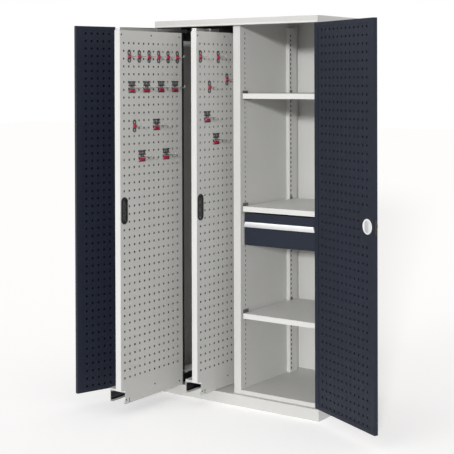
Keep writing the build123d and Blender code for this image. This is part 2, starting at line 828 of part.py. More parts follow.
# Hinge pins: fixed to the header and to the plinth, with a washer that the door turns on
with BuildPart() as hinge_pins:
    for side in (-1, 1):
        at = (side * (half - hinge_from_side), front + hinge_from_front)
        pin_end = door_skin + bush_length
        rod(pin_radius, door_top - pin_end, header_z, at)
        rod(washer_radius, door_top + seat_gap, header_z, at)
        rod(pin_radius, plinth_height, door_bottom + pin_end, at)
        rod(washer_radius, plinth_height, door_bottom - seat_gap, at)
save(hinge_pins, "hinge_pins")

# Lock: the spindle turns a crank plate, whose two pins push the rods up and down.
# In the frame of the right door, Y is negative towards the inner face.
lock_plane = leaf_plane(1)
inner = -door_inner
outer = -door_outer
case_width = 46
case_half = 48
case_y = (-(panel_back - door_skin - sheet_seat), -(door_outer + door_skin))
plate_y = (2, 5)
foot_y = (-rod_across - 1.5, -rod_across + 1.5)
start_angle = radians(45)

with BuildPart(lock_plane) as lock_case:
    case_u = (lock_along - case_width / 2, lock_along + case_width / 2)
    block(case_u, case_y, (lock_z - case_half, lock_z + case_half))
    room_u = (case_u[0] + sheet, case_u[1] - sheet)
    room_z = (lock_z - case_half + sheet, lock_z + case_half - sheet)
    block(room_u, (case_y[0], case_y[1] - sheet), room_z, Mode.SUBTRACT)
    for z in (lock_z - case_half, lock_z + case_half):
        rod(rod_hole, z - 2 * sheet, z + 2 * sheet, (lock_along, -rod_across), Mode.SUBTRACT)
    with Locations(Location((lock_along, case_y[1], lock_z), (90, 0, 0))):
        Cylinder(spindle_radius + pin_fit, 4 * sheet, mode=Mode.SUBTRACT)
save(lock_case, "door_right_lock_case")

with BuildPart(lock_plane) as lock_cover:
    for radius, low, high in ((15, 0, door_skin), (disc_radius, door_skin, door_skin + disc_thick)):
        with Locations(Location((lock_along, inner + door_skin - (low + high) / 2, lock_z), (90, 0, 0))):
            Cylinder(radius, high - low)
save(lock_cover, "door_right_lock_disc")

with BuildPart(lock_plane) as lock_pad:
    pad_y = inner - disc_thick
    pad_u = (lock_along - pad_size[0] / 2, lock_along + pad_size[0] / 2)
    block(pad_u, (pad_y - disc_thick, pad_y), (lock_z - pad_size[1] / 2, lock_z + pad_size[1] / 2))
    pad_corners = lock_pad.edges().filter_by(lambda e: abs(e.length - disc_thick) < 0.01)
    fillet(pad_corners, pad_size[0] / 2 - 0.1)
save(lock_pad, "door_right_lock_pad")

with BuildPart(lock_plane) as faceplate:
    faceplate_z = (lock_z - faceplate_height / 2, lock_z + faceplate_height / 2)
    block((door_free, door_free + 2), (inner + 3, outer - 3), faceplate_z)
save(faceplate, "door_right_faceplate")

with BuildPart(lock_plane) as rosette:
    with Locations(Location((lock_along, outer + rosette_thick / 2, lock_z), (90, 0, 0))):
        Cylinder(rosette_radius, rosette_thick)
        Cylinder(spindle_radius + pin_fit, 2 * rosette_thick, mode=Mode.SUBTRACT)
save(rosette, "door_right_rosette")

with BuildPart(lock_plane) as spindle:
    spindle_y = (plate_y[0], outer + rosette_thick + lever_stand_off)
    with Locations(Location((lock_along, sum(spindle_y) / 2, lock_z), (90, 0, 0))):
        Cylinder(spindle_radius, spindle_y[1] - spindle_y[0])
    with Locations(Location((lock_along, sum(plate_y) / 2, lock_z), (90, 0, 0))):
        Cylinder(crank + crank_pin + 2, plate_y[1] - plate_y[0])
    for turn in (1, -1):
        pin_u = lock_along + turn * crank * cos(start_angle)
        pin_z = lock_z - turn * crank * sin(start_angle)
        pin_y = (foot_y[0], plate_y[0])
        with Locations(Location((pin_u, sum(pin_y) / 2, pin_z), (90, 0, 0))):
            Cylinder(crank_pin, pin_y[1] - pin_y[0])
save(spindle, "lock_spindle")

with BuildPart(lock_plane) as lever:
    lever_y = (outer + rosette_thick + seat_gap, outer + rosette_thick + lever_stand_off)
    arm_y = (lever_y[1] - lever_thick, lever_y[1])
    arm_z = (lock_z - lever_width / 2, lock_z + lever_width / 2)
    block((lock_along - lever_length, lock_along), arm_y, arm_z)
    arm_corners = lever.edges().filter_by(lambda e: abs(e.length - lever_thick) < 0.01)
    fillet(arm_corners, lever_width / 2 - 0.5)
    with Locations(Location((lock_along, sum(lever_y) / 2, lock_z), (90, 0, 0))):
        Cylinder(lever_width / 2 + 2, lever_y[1] - lever_y[0])
        Cylinder(spindle_radius, lever_y[1] - lever_y[0] + 2, mode=Mode.SUBTRACT)
save(lever, "lock_lever")

# Each rod ends in a foot with a cross slot, in which its crank pin slides. The two feet pass
# each other on the two sides of the spindle.
drop = crank * sin(start_angle)
slot_half = crank_pin + foot_gap
foot_near = 4
foot_far = 17
foot_tail = 18
foot_head = 26
upper_tip = door_top - rod_below_edge
lower_tip = door_bottom + rod_below_edge
for turn, name, tip in ((1, "lock_rod_upper", upper_tip), (-1, "lock_rod_lower", lower_tip)):
    with BuildPart(lock_plane) as lock_rod:
        slot_z = lock_z - turn * drop
        tail_z = tuple(sorted((slot_z - turn * (slot_half + 2), lock_z + turn * foot_head)))
        head_z = tuple(sorted((lock_z + turn * foot_tail, lock_z + turn * foot_head)))
        arm_u = tuple(sorted((lock_along + turn * foot_near, lock_along + turn * foot_far)))
        head_u = tuple(sorted((lock_along - turn * (foot_near + 1), lock_along + turn * foot_far)))
        block(arm_u, foot_y, tail_z)
        block(head_u, foot_y, head_z)
        slot_u = tuple(sorted((lock_along, lock_along + turn * (foot_far - 2))))
        block(slot_u, foot_y, (slot_z - slot_half, slot_z + slot_half), Mode.SUBTRACT)
        rod(rod_radius, *sorted((lock_z + turn * (foot_head - 2), tip)), (lock_along, -rod_across))
    save(lock_rod, name)
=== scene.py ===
# %% [markdown]
# A steel tool cabinet with perforated doors. Two perforated pull-outs hang behind the left door,
# and shelves with a drawer are behind the right one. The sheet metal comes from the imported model,
# because its sizes, joints and clearances are exact there. What this lesson adds is finish: paint,
# zinc and plastic made of nodes, and small pieces with rounded edges that a plain solid lacks.

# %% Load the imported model
import bmesh
import bpy
from math import cos, pi, radians, sin
from mathutils import Matrix, Vector


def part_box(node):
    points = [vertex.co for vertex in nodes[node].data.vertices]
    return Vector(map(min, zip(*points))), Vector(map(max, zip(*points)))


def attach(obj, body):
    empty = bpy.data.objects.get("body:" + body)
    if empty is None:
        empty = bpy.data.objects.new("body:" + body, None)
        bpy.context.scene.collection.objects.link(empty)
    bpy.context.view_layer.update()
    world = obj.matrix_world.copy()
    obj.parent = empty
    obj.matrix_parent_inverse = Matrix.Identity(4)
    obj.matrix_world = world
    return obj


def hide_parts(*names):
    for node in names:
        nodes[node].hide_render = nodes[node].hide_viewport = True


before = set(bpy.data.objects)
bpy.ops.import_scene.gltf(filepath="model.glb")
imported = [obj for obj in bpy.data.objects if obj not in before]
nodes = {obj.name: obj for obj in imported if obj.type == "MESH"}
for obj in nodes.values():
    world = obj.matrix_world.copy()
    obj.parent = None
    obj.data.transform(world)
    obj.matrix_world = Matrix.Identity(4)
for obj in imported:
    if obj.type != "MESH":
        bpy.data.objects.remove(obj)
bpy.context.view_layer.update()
MM = 0.001

# %% [markdown]
# The camera stands where the photographer's stood: about 6 m away, to the right and at eye height,
# level with the upper third. Its place was found from the rows of square holes, whose pitch is
# known. The lens is shifted down, as with an architect's camera, so uprights stay upright.

# %% Camera
IMAGE_SIZE = 454
FOCAL_PX = 1147.3
CENTRE_PX = (237.96, 90.93)
CAMERA_AT = Vector((3.3283, -5.0037, 1.637))
YAW, PITCH, ROLL = 0.610, -0.009, -0.003

forward = Vector((-sin(YAW) * cos(PITCH), cos(YAW) * cos(PITCH), sin(PITCH)))
level = Vector((cos(YAW), sin(YAW), 0))
upward = level.cross(forward)
right = level * cos(ROLL) + upward * sin(ROLL)
upward = upward * cos(ROLL) - level * sin(ROLL)
camera_data = bpy.data.cameras.new("camera")
camera_data.sensor_width = 36
camera_data.lens = 36 * FOCAL_PX / IMAGE_SIZE
camera_data.shift_x = (IMAGE_SIZE / 2 - CENTRE_PX[0]) / IMAGE_SIZE
camera_data.shift_y = (CENTRE_PX[1] - IMAGE_SIZE / 2) / IMAGE_SIZE
camera = bpy.data.objects.new("camera", camera_data)
bpy.context.scene.collection.objects.link(camera)
turn = Matrix((right, upward, -forward)).transposed().to_4x4()
camera.matrix_world = Matrix.Translation(CAMERA_AT) @ turn
bpy.context.scene.camera = camera
print("lens", round(camera_data.lens, 2), "mm")

# %% [markdown]
# Every material here starts as an empty node tree. Two helpers come first. One empties a tree, and
# the other tells rays that the camera sees, directly or in a reflection, from rays that only light.

# %% Empty trees and the rays that are seen
def wire(tree, source, target):
    tree.links.new(source, target)


def emptied(tree):
    for node in list(tree.nodes):
        tree.nodes.remove(node)
    return tree


def new_material(name):
    material = bpy.data.materials.new(name)
    material.use_nodes = True
    return material, emptied(material.node_tree)


def seen_or_mirrored(tree):
    """One for rays from the camera, and for those that bounced off gloss or went through glass."""
    path = tree.nodes.new("ShaderNodeLightPath")
    value = path.outputs["Is Camera Ray"]
    for other in ("Is Glossy Ray", "Is Transmission Ray"):
        either = tree.nodes.new("ShaderNodeMath")
        either.operation = "MAXIMUM"
        wire(tree, value, either.inputs[0])
        wire(tree, path.outputs[other], either.inputs[1])
        value = either.outputs[0]
    return value


bpy.context.scene.view_settings.view_transform = "Standard"
print("view transform", bpy.context.scene.view_settings.view_transform)

# %% [markdown]
# A studio sweep could be a curved backdrop. Here one large pale floor is enough. It adds a little
# glow of its own for the camera, so that it reads as white paper but keeps a soft shadow.

# %% Floor
FLOOR_SIZE = 60
FLOOR_GLOW = 0.42
PAPER = (0.82, 0.82, 0.82)
floor_material, tree = new_material("studio_floor")
out = tree.nodes.new("ShaderNodeOutputMaterial")
blend = tree.nodes.new("ShaderNodeAddShader")
paper = tree.nodes.new("ShaderNodeBsdfDiffuse")
paper.inputs["Color"].default_value = (*PAPER, 1)
glow = tree.nodes.new("ShaderNodeEmission")
strength = tree.nodes.new("ShaderNodeMath")
strength.operation = "MULTIPLY"
strength.inputs[1].default_value = FLOOR_GLOW
wire(tree, seen_or_mirrored(tree), strength.inputs[0])
wire(tree, strength.outputs[0], glow.inputs["Strength"])
wire(tree, paper.outputs[0], blend.inputs[0])
wire(tree, glow.outputs[0], blend.inputs[1])
wire(tree, blend.outputs[0], out.inputs["Surface"])

bm = bmesh.new()
bmesh.ops.create_grid(bm, x_segments=2, y_segments=2, size=FLOOR_SIZE / 2)
floor_mesh = bpy.data.meshes.new("studio_floor")
bm.to_mesh(floor_mesh)
bm.free()
floor = bpy.data.objects.new("studio_floor", floor_mesh)
floor_mesh.materials.append(floor_material)
bpy.context.scene.collection.objects.link(floor)
print("floor", FLOOR_SIZE, "m wide")

# %% [markdown]
# The world behind the floor is plain white for the camera and for reflections. As a light it is
# dimmer and a trace warmer, so that it fills the shadows without bleaching the pale sheets.

# %% World
AMBIENT = 0.52
WORLD_TINT = (1.0, 0.98, 0.965)
world = bpy.data.worlds.new("studio_world")
world.use_nodes = True
bpy.context.scene.world = world
tree = emptied(world.node_tree)
out = tree.nodes.new("ShaderNodeOutputWorld")
sky = tree.nodes.new("ShaderNodeBackground")
seen = seen_or_mirrored(tree)
level_mix = tree.nodes.new("ShaderNodeMapRange")
level_mix.inputs["To Min"].default_value = AMBIENT
level_mix.inputs["To Max"].default_value = 1.0
wire(tree, seen, level_mix.inputs["Value"])
wire(tree, level_mix.outputs[0], sky.inputs["Strength"])
tint = tree.nodes.new("ShaderNodeMix")
tint.data_type = "RGBA"
tint.inputs["A"].default_value = (*WORLD_TINT, 1)
tint.inputs["B"].default_value = (1, 1, 1, 1)
wire(tree, seen, tint.inputs["Factor"])
wire(tree, tint.outputs["Result"], sky.inputs["Color"])
wire(tree, sky.outputs[0], out.inputs["Surface"])
print("ambient light", AMBIENT)

# %% [markdown]
# Two lamps are enough. The key lamp stands in front and to the right, a little above, so faces that
# look forward are the brightest, and faces that look right are a step darker. Its narrow angle
# gives the clear shadow that each shelf throws on the wall under it. A weak wide lamp on the left
# keeps the other faces from going dull.

# %% Lamps
def soft_sun(name, towards, power, angle):
    data = bpy.data.lights.new(name, "SUN")
    data.energy = power
    data.angle = radians(angle)
    lamp = bpy.data.objects.new(name, data)
    lamp.rotation_euler = Vector(towards).to_track_quat("-Z", "Y").to_euler()
    bpy.context.scene.collection.objects.link(lamp)


soft_sun("key_lamp", (-0.42, 0.88, -0.19), 2.0, 5)
soft_sun("fill_lamp", (0.3, 0.85, -0.42), 0.4, 40)
print("lamps", len(bpy.data.lights))

# %% [markdown]
# All finishes on this cabinet are made of the same few steps: a noise, a spread of it onto a range
# of values, two tones of one colour, and a bump. Each step is a helper. They read Object
# coordinates in metres, so a grain has the same size on every sheet.

# %% Steps that all finishes share
def noise(tree, coordinates, scale, detail=2.0, stretch=None):
    texture = tree.nodes.new("ShaderNodeTexNoise")
    texture.inputs["Scale"].default_value = scale
    texture.inputs["Detail"].default_value = detail
    if stretch:
        mapping = tree.nodes.new("ShaderNodeMapping")
        mapping.inputs["Scale"].default_value = stretch
        wire(tree, coordinates, mapping.inputs["Vector"])
        coordinates = mapping.outputs[0]
    wire(tree, coordinates, texture.inputs["Vector"])
    return texture.outputs["Fac"]


NOISE_LOW, NOISE_HIGH = 0.3, 0.7


def spread(tree, value, low, high):
    """Maps a noise, which stays near its middle, onto a range of values."""
    rule = tree.nodes.new("ShaderNodeMapRange")
    rule.inputs["From Min"].default_value = NOISE_LOW
    rule.inputs["From Max"].default_value = NOISE_HIGH
    rule.inputs["To Min"].default_value = low
    rule.inputs["To Max"].default_value = high
    wire(tree, value, rule.inputs["Value"])
    return rule.outputs[0]


def two_tone(tree, value, dark, light):
    ramp = tree.nodes.new("ShaderNodeValToRGB")
    ramp.color_ramp.elements[0].position = NOISE_LOW
    ramp.color_ramp.elements[1].position = NOISE_HIGH
    ramp.color_ramp.elements[0].color = (*dark, 1)
    ramp.color_ramp.elements[1].color = (*light, 1)
    wire(tree, value, ramp.inputs["Fac"])
    return ramp.outputs["Color"]


def shaded(color, by):
    return tuple(min(1, c * by) for c in color)


def bump(tree, height, depth, shader):
    node = tree.nodes.new("ShaderNodeBump")
    node.inputs["Distance"].default_value = depth
    node.inputs["Strength"].default_value = 1.0
    wire(tree, height, node.inputs["Height"])
    wire(tree, node.outputs[0], shader.inputs["Normal"])


def surface(name):
    """A new material with its shader, its output and its Object coordinates."""
    material, tree = new_material(name)
    out = tree.nodes.new("ShaderNodeOutputMaterial")
    shader = tree.nodes.new("ShaderNodeBsdfPrincipled")
    place = tree.nodes.new("ShaderNodeTexCoord").outputs["Object"]
    wire(tree, shader.outputs[0], out.inputs["Surface"])
    return material, tree, shader, place


# %% [markdown]
# The posts and pull-outs are hollow. Their insides show through slots and holes, and look black there,
# because little light gets in. That black is painted shade. A separate piece could stand inside,
# but a sheet's inner face needs only another colour, so the paint turns near-black inside a box in space.

# %% Another colour inside a box
def inside_box(tree, place, low, high):
    """One inside a box given in millimetres, else zero."""
    middle = tree.nodes.new("ShaderNodeVectorMath")
    middle.operation = "SUBTRACT"
    middle.inputs[1].default_value = [(a + b) / 2 * MM for a, b in zip(low, high)]
    wire(tree, place, middle.inputs[0])
    away = tree.nodes.new("ShaderNodeVectorMath")
    away.operation = "ABSOLUTE"
    wire(tree, middle.outputs[0], away.inputs[0])
    over = tree.nodes.new("ShaderNodeVectorMath")
    over.operation = "SUBTRACT"
    over.inputs[1].default_value = [(b - a) / 2 * MM for a, b in zip(low, high)]
    wire(tree, away.outputs[0], over.inputs[0])
    parts = tree.nodes.new("ShaderNodeSeparateXYZ")
    wire(tree, over.outputs[0], parts.inputs[0])
    value = parts.outputs["X"]
    for axis in ("Y", "Z"):
        furthest = tree.nodes.new("ShaderNodeMath")
        furthest.operation = "MAXIMUM"
        wire(tree, value, furthest.inputs[0])
        wire(tree, parts.outputs[axis], furthest.inputs[1])
        value = furthest.outputs[0]
    inside = tree.nodes.new("ShaderNodeMath")
    inside.operation = "LESS_THAN"
    inside.inputs[1].default_value = 0
    wire(tree, value, inside.inputs[0])
    return inside.outputs[0]


def swap_inside(tree, place, paint, low, high, other):
    """The paint, but another color inside a box."""
    mix = tree.nodes.new("ShaderNodeMix")
    mix.data_type = "RGBA"
    mix.inputs["B"].default_value = (*other, 1)
    wire(tree, inside_box(tree, place, low, high), mix.inputs["Factor"])
    wire(tree, paint, mix.inputs["A"])
    return mix.outputs["Result"]


# %% [markdown]
# Powder coat is sprayed as dry powder and melted. It has a fine orange-peel skin, a slight
# unevenness of tone, and a soft sheen that changes a little from place to place. Three noises do
# this: a very fine one for the bump, a middle one for the sheen, and a wide one for the tone.

# %% How powder coat is made
TONE_NOISE, SHEEN_NOISE = 2.4, 38


def powder_coat(name, color, sheen=(0.36, 0.5), grain=900, depth=0.00006, tone=0.035, gloss=0.42, shade_boxes=()):
    material, tree, shader, place = surface(name)
    wide = noise(tree, place, TONE_NOISE, 3)
    paint = two_tone(tree, wide, shaded(color, 1 - tone), shaded(color, 1 + tone))
    # Inside each given box the colour is swapped: near-black painted shade in hollows, or light grey where
    # light gets in.
    for low, high, other in shade_boxes:
        paint = swap_inside(tree, place, paint, low, high, other)
    wire(tree, paint, shader.inputs["Base Color"])
    wire(tree, spread(tree, noise(tree, place, SHEEN_NOISE, 4), *sheen), shader.inputs["Roughness"])
    shader.inputs["Specular IOR Level"].default_value = gloss
    bump(tree, noise(tree, place, grain, 2), depth, shader)
    return material


# %% [markdown]
# Now the paints themselves. The body and the pull-outs are light grey, the shelves and the front
# strips a shade lighter, and the doors and the drawer's front a very dark, slightly coarser blue.
# The boxes of painted shade lie in the front post, the rear uprights and the pull-outs. Behind each grip
# the inner face of the far sheet is left light grey, without painted shade, as the light through the finger
# slot shows it.

# %% Powder coats
TOP, HEADER = 1950, 1915
LIGHT_GREY = (0.60, 0.60, 0.585)
# Near-black painted shade for the hollow insides that show through slots and holes.
HOLLOW_SHADE = (0.012, 0.012, 0.013)
POST_SHADE_BOX = ((-11.5, -264, 0), (28.9, -200, HEADER), HOLLOW_SHADE)
UPRIGHT_SHADE_BOX = ((20, 169, 0), (48.9, 237, HEADER), HOLLOW_SHADE)
FRONTS = {-322: -780, -111.5: -444}
PULLOUT_SHADE_BOXES = []
for x, y in FRONTS.items():
    PULLOUT_SHADE_BOXES.append(((x - 32, y, 0), (x - 0.8, y + 500, TOP), HOLLOW_SHADE))
# Behind each grip the painted shade is left out, and the far sheet's inner face stays light grey.
for x, y in FRONTS.items():
    PULLOUT_SHADE_BOXES.append(((x - 33, y + 52, 935), (x - 25, y + 102, 1062), LIGHT_GREY))
body_coat_and_hollow_shade = powder_coat("body_powder_coat_and_hollow_shade", LIGHT_GREY, shade_boxes=(POST_SHADE_BOX, UPRIGHT_SHADE_BOX))
shelf_coat = powder_coat("shelf_powder_coat", (0.68, 0.68, 0.665))
strip_coat = powder_coat("pullout_frame_powder_coat", (0.70, 0.70, 0.69))
panel_coat_and_hollow_shade = powder_coat("pullout_sheet_powder_coat_and_hollow_shade", (0.62, 0.62, 0.60), shade_boxes=PULLOUT_SHADE_BOXES)
carriage_coat = powder_coat("carriage_powder_coat", (0.62, 0.62, 0.60))
DOOR_FINISH = ((0.0125, 0.0165, 0.029), (0.48, 0.6), 1100, 0.0001, 0.08, 0.25)
door_coat = powder_coat("door_powder_coat", *DOOR_FINISH)
door_sheet_coat = powder_coat("door_sheet_powder_coat", *DOOR_FINISH)
print("powder coats", len([m for m in bpy.data.materials if "powder" in m.name]))

# %% [markdown]
# The runners are cold-drawn steel under a black zinc finish, the pins and screws under a clear
# one. Drawn steel shows faint lines along its length, so its noise is squeezed across the strip.
# Zinc also has a faint cloudiness. The rails over the pull-outs are clear zinc like the pins, and
# belong to the same nodes as the black slides below, so their colour changes inside a box.

# %% Metals
CLOUD_NOISE = 22
LINE_DEPTH = 0.00003


def drawn_metal(name, color, along=(1, 0.02, 1), sheen=(0.28, 0.46), scale=700, tone=0.12, other=None):
    material, tree, shader, place = surface(name)
    shader.inputs["Metallic"].default_value = 1.0
    cloud = noise(tree, place, CLOUD_NOISE, 3)
    tint = two_tone(tree, cloud, shaded(color, 1 - tone), shaded(color, 1 + tone))
    if other:
        tint = swap_inside(tree, place, tint, *other)
    wire(tree, tint, shader.inputs["Base Color"])
    lines = noise(tree, place, scale, 2, along)
    wire(tree, spread(tree, lines, *sheen), shader.inputs["Roughness"])
    bump(tree, lines, LINE_DEPTH, shader)
    return material


runner_zinc = drawn_metal("runner_black_zinc", (0.045, 0.045, 0.05))
TOP_RAILS = ((-500, -1000, 1500), (0, 600, 2000), (0.42, 0.42, 0.41))
slide_zinc = drawn_metal("slide_two_zincs", (0.05, 0.05, 0.055), other=TOP_RAILS)
pin_zinc = drawn_metal("pin_clear_zinc", (0.52, 0.53, 0.55), (1, 1, 0.02))
screw_zinc = drawn_metal("screw_black_zinc", (0.06, 0.06, 0.065), (1, 1, 1), (0.25, 0.4), 500)
wire_zinc = drawn_metal("hook_wire_zinc", (0.5, 0.5, 0.52), (0.02, 1, 1), (0.2, 0.36))
lever_metal = drawn_metal("lever_satin_metal", (0.33, 0.34, 0.36), (1, 1, 1), (0.3, 0.42), 260, 0.05)
ANODISED = ((0.86, 0.87, 0.88), (0.01, 1, 1), (0.26, 0.4), 600, 0.03)
handle_aluminium = drawn_metal("handle_anodised_aluminium", *ANODISED)
print("materials with metals", len(bpy.data.materials))

# %% [markdown]
# Moulded plastic is smoother than paint. The grips and clips are black with a fine spark-eroded
# texture, the lock's ring and pad are white and grey, and the caps on the hooks are crimson.

# %% Plastics
BATCH_NOISE, SKIN_NOISE = 30, 160
SPARK_GRAIN, SPARK_DEPTH = 1500, 0.00003
BATCH_TONE = 0.05


def moulded(name, color, sheen=(0.3, 0.42)):
    material, tree, shader, place = surface(name)
    dark, light = shaded(color, 1 - BATCH_TONE), shaded(color, 1 + BATCH_TONE)
    wire(tree, two_tone(tree, noise(tree, place, BATCH_NOISE, 2), dark, light), shader.inputs["Base Color"])
    wire(tree, spread(tree, noise(tree, place, SKIN_NOISE, 3), *sheen), shader.inputs["Roughness"])
    bump(tree, noise(tree, place, SPARK_GRAIN, 1), SPARK_DEPTH, shader)
    return material


black_plastic_and_painted_shadow = moulded("grip_black_plastic_and_painted_shadow", (0.012, 0.012, 0.014))
fitting_black = moulded("fitting_black_coat", (0.016, 0.016, 0.017), (0.4, 0.55))
clip_bronze = moulded("shelf_clip_dark_zinc", (0.13, 0.12, 0.11), (0.35, 0.5))
hook_black = moulded("hook_black_coat", (0.03, 0.03, 0.033), (0.25, 0.4))
cap_red = moulded("hook_cap_crimson", (0.42, 0.015, 0.05), (0.2, 0.32))
ring_white = moulded("lock_ring_white", (0.84, 0.84, 0.83), (0.22, 0.34))
pad_grey = moulded("lock_pad_grey", (0.52, 0.54, 0.57), (0.3, 0.45))
bush_black = moulded("bush_black_plastic", (0.02, 0.02, 0.02))
print("materials", len(bpy.data.materials))

# %% [markdown]
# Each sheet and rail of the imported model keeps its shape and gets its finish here, by name. The
# finish goes into the node's material slot, and nothing else about the node changes.

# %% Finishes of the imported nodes
def finish(material, *names):
    for name in names:
        mesh = nodes[name].data
        mesh.materials.clear()
        mesh.materials.append(material)


both = ("pullout_1", "pullout_2")
finish(body_coat_and_hollow_shade, "top_cover", "base_plinth", "base_crossbar", "side_wall_left", "side_wall_right",
       "back_panel", "divider_post", "divider_wall", "floor_tray", "shelf_uprights",
       "drawer_cassette", "pullout_beams", "drawer_box")
finish(shelf_coat, "shelf_upper", "shelf_middle", "shelf_lower")
finish(strip_coat, *(f"{p}_frame" for p in both))
finish(panel_coat_and_hollow_shade, *(f"{p}_{k}" for p in both for k in ("sheet_right", "sheet_left")))
finish(carriage_coat, *(f"{p}_carriage" for p in both))
finish(door_coat, "door_left_shell", "door_right_shell", "drawer_front")
finish(door_sheet_coat, "door_left_sheet", "door_right_sheet")
finish(runner_zinc, "drawer_slides_outer", "drawer_slides_middle", "drawer_slides_inner",
       "pullout_slides_outer")
finish(slide_zinc, *(f"{p}_{k}" for p in both for k in ("inner_rails", "middle_rails")))
finish(fitting_black, "pullout_top_guides", "door_right_faceplate")
finish(clip_bronze, "shelf_clips")
finish(black_plastic_and_painted_shadow, *(f"{p}_grip" for p in both))
finish(pin_zinc, "hinge_pins", "lock_spindle", "lock_rod_upper", "lock_rod_lower", "door_right_lock_case")
finish(lever_metal, "lock_lever", "door_right_rosette")
finish(screw_zinc, *(f"{p}_screws" for p in both))
finish(hook_black, *(f"{p}_hooks" for p in both))
finish(cap_red, *(f"{p}_hook_pads" for p in both))
finish(ring_white, "door_right_lock_disc")
finish(pad_grey, "door_right_lock_pad")
finish(bush_black, "door_left_bushes", "door_right_bushes")
finish(handle_aluminium, "drawer_handle")
print("finished nodes", len([n for n in nodes.values() if n.data.materials]), "of", len(nodes))

# %% [markdown]
# The pieces from here on are made in Blender, because a rounded edge or a bent wire catches the
# light in a way that a plain solid doesn't. Each shape starts from a bmesh operator and is then
# bevelled, spun or extruded, as a modeller would do by hand. The first helper makes a block with
# rounded edges. Sizes are in millimetres here, and become metres on the way.

# %% Rounded blocks
def mm(*values):
    return Vector(values) * MM


def added_since(bm, before):
    return [v for v in bm.verts if v not in before]


def put(bm, verts, at, turn=None):
    """Turns a shape that was made round the origin, then moves it to its place."""
    if turn:
        bmesh.ops.rotate(bm, cent=(0, 0, 0), matrix=turn, verts=verts)
    bmesh.ops.translate(bm, vec=mm(*at), verts=verts)


def rounded_block(bm, size, at, radius, segments=2, turn=None):
    """A block of a size, with its middle at a place, and all its edges rounded."""
    before = set(bm.verts)
    cube = bmesh.ops.create_cube(bm, size=1)["verts"]
    bmesh.ops.scale(bm, vec=mm(*size), verts=cube)
    edges = list({e for v in cube for e in v.link_edges})
    bmesh.ops.bevel(
        bm, geom=edges, offset=radius * MM, segments=segments,
        affect="EDGES", profile=0.5, material=-1,
    )
    put(bm, added_since(bm, before), at, turn)


def between(bm, low, high, radius, segments=2):
    """The same block, given by its lowest and highest corners."""
    size = [b - a for a, b in zip(low, high)]
    rounded_block(bm, size, [(a + b) / 2 for a, b in zip(low, high)], radius, segments)


# %% [markdown]
# Round pieces such as screw heads and the lock's ring are spun from half of their outline, as on a
# lathe. The spin merges its seam, and points on the axis fall together and are merged after it.

# %% Turned pieces
MERGE = 1e-7


def turned(bm, profile, at, towards=(1, 0, 0), steps=16):
    """A turned piece: pairs of radius and height are spun, and its axis points a given way."""
    before = set(bm.verts)
    verts = [bm.verts.new(mm(r, 0, h)) for r, h in profile]
    edges = [bm.edges.new(pair) for pair in zip(verts, verts[1:])]
    bmesh.ops.spin(
        bm, geom=verts + edges, cent=(0, 0, 0), axis=(0, 0, 1),
        angle=2 * pi, steps=steps, use_merge=True,
    )
    bmesh.ops.remove_doubles(bm, verts=added_since(bm, before), dist=MERGE)
    turn = Vector((0, 0, 1)).rotation_difference(Vector(towards)).to_matrix()
    put(bm, added_since(bm, before), at, turn)


# %% [markdown]
# A finished piece gets its material and rides on the body that it is fixed to, so that it moves
# with the right joint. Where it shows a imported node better, it takes that node's place. Its faces
# are pointed outwards after its doubles are merged, and edges sharper than 35 degrees stay crisp.

# %% Ending a piece
CRISP = radians(35)


def hang(made, material, body, *replaced):
    made.data.materials.append(material)
    bpy.context.scene.collection.objects.link(made)
    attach(made, body)
    if replaced:
        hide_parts(*replaced)
    return made


def piece(name, bm, material, body, *replaced):
    """Ends a piece: faces outwards, round parts smooth, and the whole hung on its body."""
    bmesh.ops.remove_doubles(bm, verts=bm.verts[:], dist=MERGE)
    bmesh.ops.recalc_face_normals(bm, faces=bm.faces[:])
    for face in bm.faces:
        face.smooth = True
    for edge in bm.edges:
        edge.smooth = len(edge.link_faces) == 2 and edge.calc_face_angle(0) < CRISP
    mesh = bpy.data.meshes.new(name)
    bm.to_mesh(mesh)
    bm.free()
    print(name, len(mesh.polygons), "faces")
    return hang(bpy.data.objects.new(name, mesh), material, body, *replaced)


# %% [markdown]
# Wire is easiest as a curve with a round bevel. A spline follows the points of each bend, and the
# curve is then turned into a mesh, because the piece has to keep its place in its own mesh.

# %% Bent wire
def wires(name, runs, radius, material, body, *replaced):
    """Round wires, each along its own points, which a smooth spline follows."""
    curve = bpy.data.curves.new(name, "CURVE")
    curve.dimensions = "3D"
    curve.bevel_depth = radius * MM
    curve.bevel_resolution = 2
    curve.resolution_u = 4
    curve.use_fill_caps = True
    for points, closed in runs:
        spline = curve.splines.new("NURBS")
        spline.points.add(len(points) - 1)
        for point, at in zip(spline.points, points):
            point.co = (*mm(*at), 1)
        spline.use_cyclic_u = closed
        spline.use_endpoint_u = not closed
        spline.order_u = 3
    rope = bpy.data.objects.new(name, curve)
    bpy.context.scene.collection.objects.link(rope)
    bpy.context.view_layer.update()
    bent = rope.evaluated_get(bpy.context.evaluated_depsgraph_get())
    mesh = bpy.data.meshes.new_from_object(bent)
    bpy.data.objects.remove(rope)
    mesh.name = name
    mesh.materials.clear()
    for polygon in mesh.polygons:
        polygon.use_smooth = True
    print(name, len(mesh.polygons), "faces")
    return hang(bpy.data.objects.new(name, mesh), material, body, *replaced)


# %% [markdown]
# Where the pull-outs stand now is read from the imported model, so that their new pieces move with
# the right sheet. The hole grid has a 38 mm pitch both ways. It starts 31 mm behind the front
# and 62.3 mm under the top.

# %% Places on the two pull-outs
HOLE_PITCH = 38
FIRST_COLUMN = 31
FIRST_ROW = 62.3
THICK = 33


def corners(name):
    """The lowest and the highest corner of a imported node, in millimetres."""
    low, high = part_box(name)
    return low / MM, high / MM


